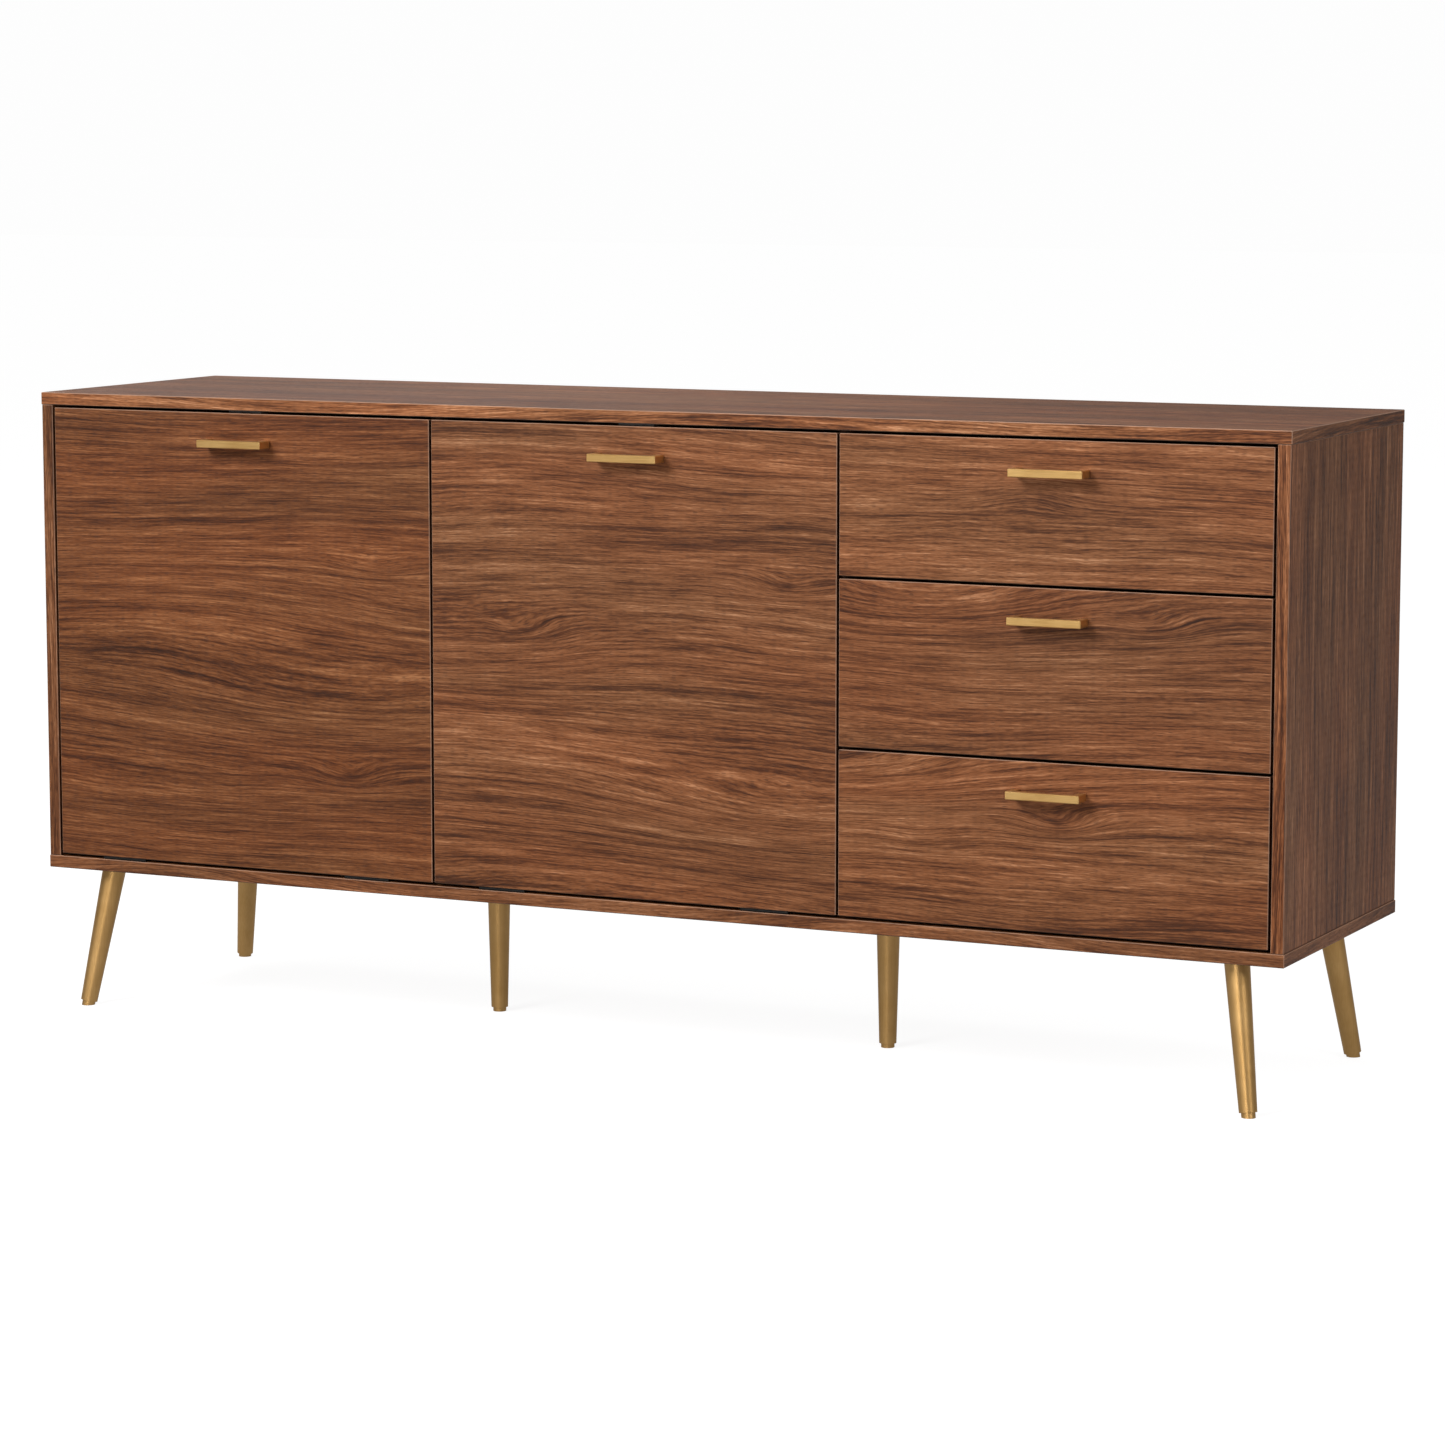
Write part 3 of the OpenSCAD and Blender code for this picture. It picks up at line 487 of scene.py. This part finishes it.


# The second value of each front is painted light and shade on its face: the left door darker, the middle door and
# the top and bottom drawers lighter
front(
    "left_door_panel", (0.81, 0.73, 0.6), 1.3, 0.028,
    [(0.79, 0.22, 0.7), (0.86, 0.68, 0.4)],
    [(0.8, 0.36, 0.45), (0.3, 0.6, -0.3)],
)
front(
    "middle_door_panel", grey(1.04), 4.7, 0.03,
    [(0.88, 0.68, 0.7), (0.23, 0.56, 0.4)],
    [(0.9, 0.2, 0.6), (0.02, 0.52, 0.5)],
)
front("top_drawer_front", grey(1.14), 8.2, 0.025, [(0.45, 0.6, -0.5)])
front("middle_drawer_front", grey(1.0), 11.9, 0.03, [(0.74, 0.8, 0.6)], [(0.3, 0.8, 0.6)])
front(
    "bottom_drawer_front", grey(1.12), 15.1, 0.03,
    [(0.52, 0.64, 0.9), (0.2, 0.5, 0.4)],
    [(-0.05, 0.9, 0.7)],
)

# Painted highlight on the top's eased edges and on its lightened front and back edges; slight painted shade on its
# upper and under faces and on eased edges that face down
top_veneer = wood(
    "top_veneer", WALNUT, "X", "Y", 21.0, 0.04,
    painted_edge_highlight=0.35, tints=(("Y", grey(1.42)), ("Z", grey(0.95))), contrast=1.2,
)
paint(top_veneer, "top_panel")
# Painted highlight on the bottom's eased edges, painted shade on those that face down
paint(wood("bottom_veneer", WALNUT, "X", "Y", 26.0, 0.04, painted_edge_highlight=0.25), "bottom_panel")
# Painted highlight on the sides' eased edges; painted light and shade on their front and back edges, the left side
# darker, the right side lighter
for side, seed, light in (("left_side", 31.0, 0.85), ("right_side", 36.0, 1.26)):
    side_veneer = wood(
        side + "_veneer", WALNUT, "Z", "Y", seed, 0.02,
        painted_edge_highlight=0.2, tints=(("Y", grey(light)),), contrast=1.25,
    )
    paint(side_veneer, side + "_panel")
# Painted shade: the dividers' front and back edges darkened, where they show in the gaps between the doors
divider_laminate = wood(
    "divider_laminate", INNER_WALNUT, "Z", "Y", 41.0, 0.03, gloss=0.5, tints=(("Y", grey(0.5)),)
)
paint(divider_laminate, "left_divider", "right_divider")
paint(wood("shelf_laminate", INNER_WALNUT, "X", "Y", 46.0, 0.05, gloss=0.5), "shelves")
for name, seed in (("top_drawer_box", 51.0), ("middle_drawer_box", 56.0), ("bottom_drawer_box", 61.0)):
    paint(wood(name + "_laminate", INNER_WALNUT, "Y", "X", seed, 0.04, gloss=0.5), name)
paint(wood("dowel_beech", BEECH, "Z", "X", 71.0, 0.01, gloss=0.6), "wood_dowels")
paint(hardboard(), "back_panels")

paint(brushed_gold(), *(name for name in nodes if name.endswith("_handle")))
paint(satin_gold(), "leg_glides", *(name for name in nodes if name.endswith("_leg")))
for make, slot in (
    (plated_steel, "zinc_steel"), (black_steel, "black_steel"), (moulded_plastic, "grey_plastic"),
):
    paint(make(), *(part["node"] for part in frame["record"]["subparts"] if part["material_slot"] == slot))


# ---- floor, light and surroundings ----

FLOOR_SIZE = 60.0
FLOOR_Z = -0.0002
FLOOR_GREY = 0.2

# Glow of the floor and strength of the sky, as the camera sees them
FLOOR_SEEN, SKY_SEEN = 0.9, 0.985
# The same as a light: the sky brightens from the horizon up to SKY_HIGH
FLOOR_LIT, HORIZON_LIT, SKY_LIT = 0.3, 0.14, 0.5
SKY_HIGH = 0.7

# Name, place, aim, width and height, and power in watts
LAMPS = [
    ("key", (-2.2, -5.0, 3.8), (0.1, 0, 0.4), (2.4, 2.4), 440),
    ("strip", (0.9, -5.3, 0.9), (0.2, 0, 0.3), (1.3, 1.5), 38),
    ("fill", (4.3, -1.9, 2.2), (0.8, 0, 0.4), (2.0, 2.0), 65),
    ("back", (-3.0, 3.6, 4.2), (0, 0.2, 0.4), (2.4, 2.0), 45),
    ("overhead", (0.3, 0.2, 3.8), (0, 0, 0.4), (3.0, 2.0), 30),
]


def add_floor():
    bpy.ops.mesh.primitive_plane_add(size=FLOOR_SIZE, location=(0, 0, FLOOR_Z))
    floor = bpy.context.object
    floor.name = "floor"
    material, graph, shader = new_material("pale_floor", Roughness=0.9, Specular_IOR_Level=0.0)
    shader["Base Color"].default_value = (*grey(FLOOR_GREY), 1)
    shader["Emission Color"].default_value = (1, 1, 1, 1)
    seen = graph.node("ShaderNodeLightPath").outputs["Is Camera Ray"]
    graph.feed(shader["Emission Strength"], graph.pick(seen, FLOOR_LIT, FLOOR_SEEN))
    floor.data.materials.append(material)


def add_panel_light(name, at, aim, size, power):
    data = bpy.data.lights.new(name, "AREA")
    data.shape = "RECTANGLE"
    data.size, data.size_y = size
    data.energy = power
    light = bpy.data.objects.new(name, data)
    light.location = at
    light.rotation_euler = (Vector(aim) - Vector(at)).to_track_quat("-Z", "Y").to_euler()
    bpy.context.scene.collection.objects.link(light)


def add_surroundings():
    """White to look at, and dimmer as a light, most of all near the horizon: the lamps give the form."""
    world = bpy.data.worlds.new("studio")
    world.use_nodes = True
    bpy.context.scene.world = world
    tree = world.node_tree
    graph = Graph(tree)
    background = tree.nodes["Background"]
    background.inputs["Color"].default_value = (1, 1, 1, 1)
    seen = graph.node("ShaderNodeLightPath").outputs["Is Camera Ray"]
    height = graph.parts(graph.node("ShaderNodeTexCoord").outputs["Generated"])[2]
    as_light = graph.step(height, 0.0, SKY_HIGH, HORIZON_LIT, SKY_LIT)
    graph.feed(background.inputs["Strength"], graph.pick(seen, as_light, SKY_SEEN))


add_camera()
add_floor()
for lamp in LAMPS:
    add_panel_light(*lamp)
add_surroundings()
bpy.context.scene.view_settings.view_transform = "Standard"
